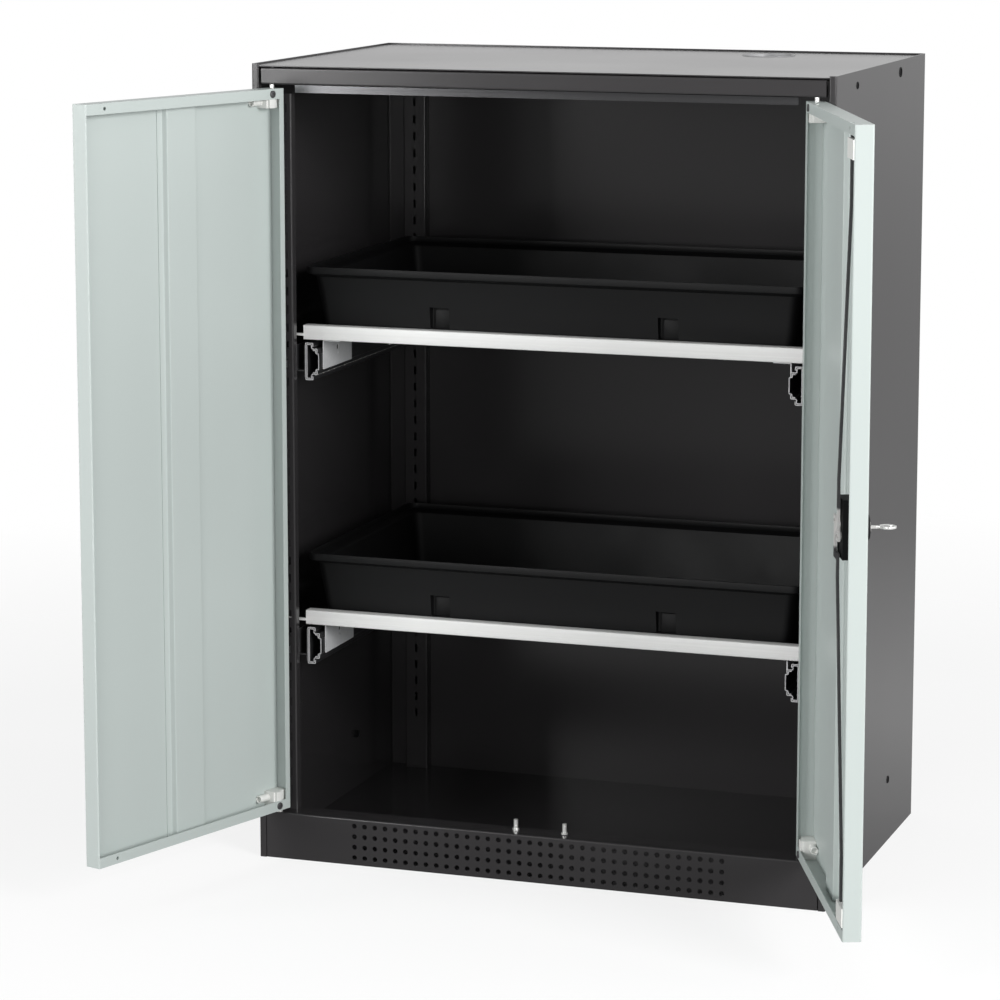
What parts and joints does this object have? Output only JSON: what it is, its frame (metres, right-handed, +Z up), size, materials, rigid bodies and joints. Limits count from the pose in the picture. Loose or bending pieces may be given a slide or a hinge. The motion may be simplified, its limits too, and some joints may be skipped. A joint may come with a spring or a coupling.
{
  "type": "chemical storage cabinet",
  "caption": "Free-standing chemical storage cabinet with two hinged steel doors, pull-out plastic tubs on slides, a perforated plinth and a roof collar for extraction.",
  "frame": {"origin": "on the ground under the middle of the carcass, on the underside of the floor stiffener", "axes": "+X to the right of the cabinet seen from its front, +Y to its back, +Z up"},
  "size_m": [1.0612, 0.8749, 1.105],
  "materials": {
    "carcass_paint": "fine satin powder coat",
    "bright_strip": "zinc plated",
    "door_paint": "satin powder coat",
    "white_plastic": "moulded",
    "bright_steel": "nickel plated",
    "dark_steel": "black oxide",
    "black_plastic": "moulded",
    "zinc": "bright zinc plated",
    "slide_steel": "zinc plated",
    "bar_aluminium": "brushed",
    "tub_plastic": "moulded, fine grain"
  },
  "bodies": {
    "carcass": {"left_side_panel": "carcass_paint", "right_side_panel": "carcass_paint", "back_panel": "carcass_paint", "roof_panel": "carcass_paint", "front_header": "carcass_paint", "perforated_plinth": "carcass_paint", "floor_panel": "carcass_paint", "floor_stiffener": "carcass_paint", "front_left_upright": "carcass_paint", "front_right_upright": "carcass_paint", "rear_left_upright": "carcass_paint", "rear_right_upright": "carcass_paint", "upper_rebate_strip": "bright_strip", "side_hole_plugs": "black_plastic", "door_stop_pins": "bright_steel", "extraction_collar": "zinc", "upper_left_support_rail": "zinc", "upper_left_cabinet_member": "slide_steel", "upper_right_support_rail": "zinc", "upper_right_cabinet_member": "slide_steel", "lower_left_support_rail": "zinc", "lower_left_cabinet_member": "slide_steel", "lower_right_support_rail": "zinc", "lower_right_cabinet_member": "slide_steel"},
    "left_door": {"left_door_panel": "door_paint", "left_door_stiffener": "door_paint", "left_door_pivot_blocks": "white_plastic", "left_door_pivot_pins": "bright_steel", "left_door_pivot_screws": "dark_steel"},
    "right_door": {"right_door_panel": "door_paint", "right_door_stiffener": "door_paint", "right_door_pivot_blocks": "white_plastic", "right_door_pivot_pins": "bright_steel", "right_door_pivot_screws": "dark_steel", "lock_case": "black_plastic", "lock_rosette": "black_plastic", "rod_guides": "white_plastic"},
    "lock": {"lock_barrel": "bright_steel", "lock_key": "bright_steel", "lock_cam": "bright_steel"},
    "upper_rod": {"upper_lock_rod": "dark_steel"},
    "lower_rod": {"lower_lock_rod": "dark_steel"},
    "upper_tray": {"upper_left_drawer_member": "slide_steel", "upper_right_drawer_member": "slide_steel", "upper_tray_brackets": "zinc", "upper_tray_carrier": "zinc", "upper_tray_front_bar": "bar_aluminium"},
    "upper_middles": {"upper_left_middle_member": "slide_steel", "upper_right_middle_member": "slide_steel"},
    "upper_tub": {"upper_tub": "tub_plastic"},
    "lower_tray": {"lower_left_drawer_member": "slide_steel", "lower_right_drawer_member": "slide_steel", "lower_tray_brackets": "zinc", "lower_tray_carrier": "zinc", "lower_tray_front_bar": "bar_aluminium"},
    "lower_middles": {"lower_left_middle_member": "slide_steel", "lower_right_middle_member": "slide_steel"},
    "lower_tub": {"lower_tub": "tub_plastic"}
  },
  "joints": [
    {"name": "left_door_hinge", "type": "hinge", "parent": "carcass", "child": "left_door", "pos_m": [-0.378, -0.254, 0.572], "axis": [0, 0, -1], "range_deg": [-108.1, 11.9]},
    {"name": "right_door_hinge", "type": "hinge", "parent": "carcass", "child": "right_door", "pos_m": [0.378, -0.254, 0.572], "axis": [0, 0, 1], "range_deg": [-112.9, 7.1]},
    {"name": "lock_turn", "type": "hinge", "parent": "right_door", "child": "lock", "pos_m": [0.5068, -0.55891, 0.58], "axis": [-0.9212, -0.3891, 0], "range_deg": [0, 90]},
    {"name": "upper_rod_slide", "type": "slide", "parent": "right_door", "child": "upper_rod", "axis": [0, 0, 1], "range_m": [0, 0.01697]},
    {"name": "lower_rod_slide", "type": "slide", "parent": "right_door", "child": "lower_rod", "axis": [0, 0, -1], "range_m": [0, 0.01705]},
    {"name": "upper_tray_slide", "type": "slide", "parent": "carcass", "child": "upper_tray", "axis": [0, -1, 0], "range_m": [0, 0.4]},
    {"name": "upper_middle_slide", "type": "slide", "parent": "carcass", "child": "upper_middles", "axis": [0, -1, 0], "range_m": [0, 0.2]},
    {"name": "upper_tub_lift", "type": "slide", "parent": "upper_tray", "child": "upper_tub", "axis": [0, 0, 1], "range_m": [0, 0.12]},
    {"name": "lower_tray_slide", "type": "slide", "parent": "carcass", "child": "lower_tray", "axis": [0, -1, 0], "range_m": [0, 0.4]},
    {"name": "lower_middle_slide", "type": "slide", "parent": "carcass", "child": "lower_middles", "axis": [0, -1, 0], "range_m": [0, 0.2]},
    {"name": "lower_tub_lift", "type": "slide", "parent": "lower_tray", "child": "lower_tub", "axis": [0, 0, 1], "range_m": [0, 0.12]}
  ],
  "couplings": [
    {"joint": "lock_turn", "follows": "upper_rod_slide", "rad_per_m": 92.558},
    {"joint": "lower_rod_slide", "follows": "upper_rod_slide", "ratio": 1},
    {"joint": "upper_middle_slide", "follows": "upper_tray_slide", "ratio": 0.5},
    {"joint": "lower_middle_slide", "follows": "lower_tray_slide", "ratio": 0.5}
  ]
}
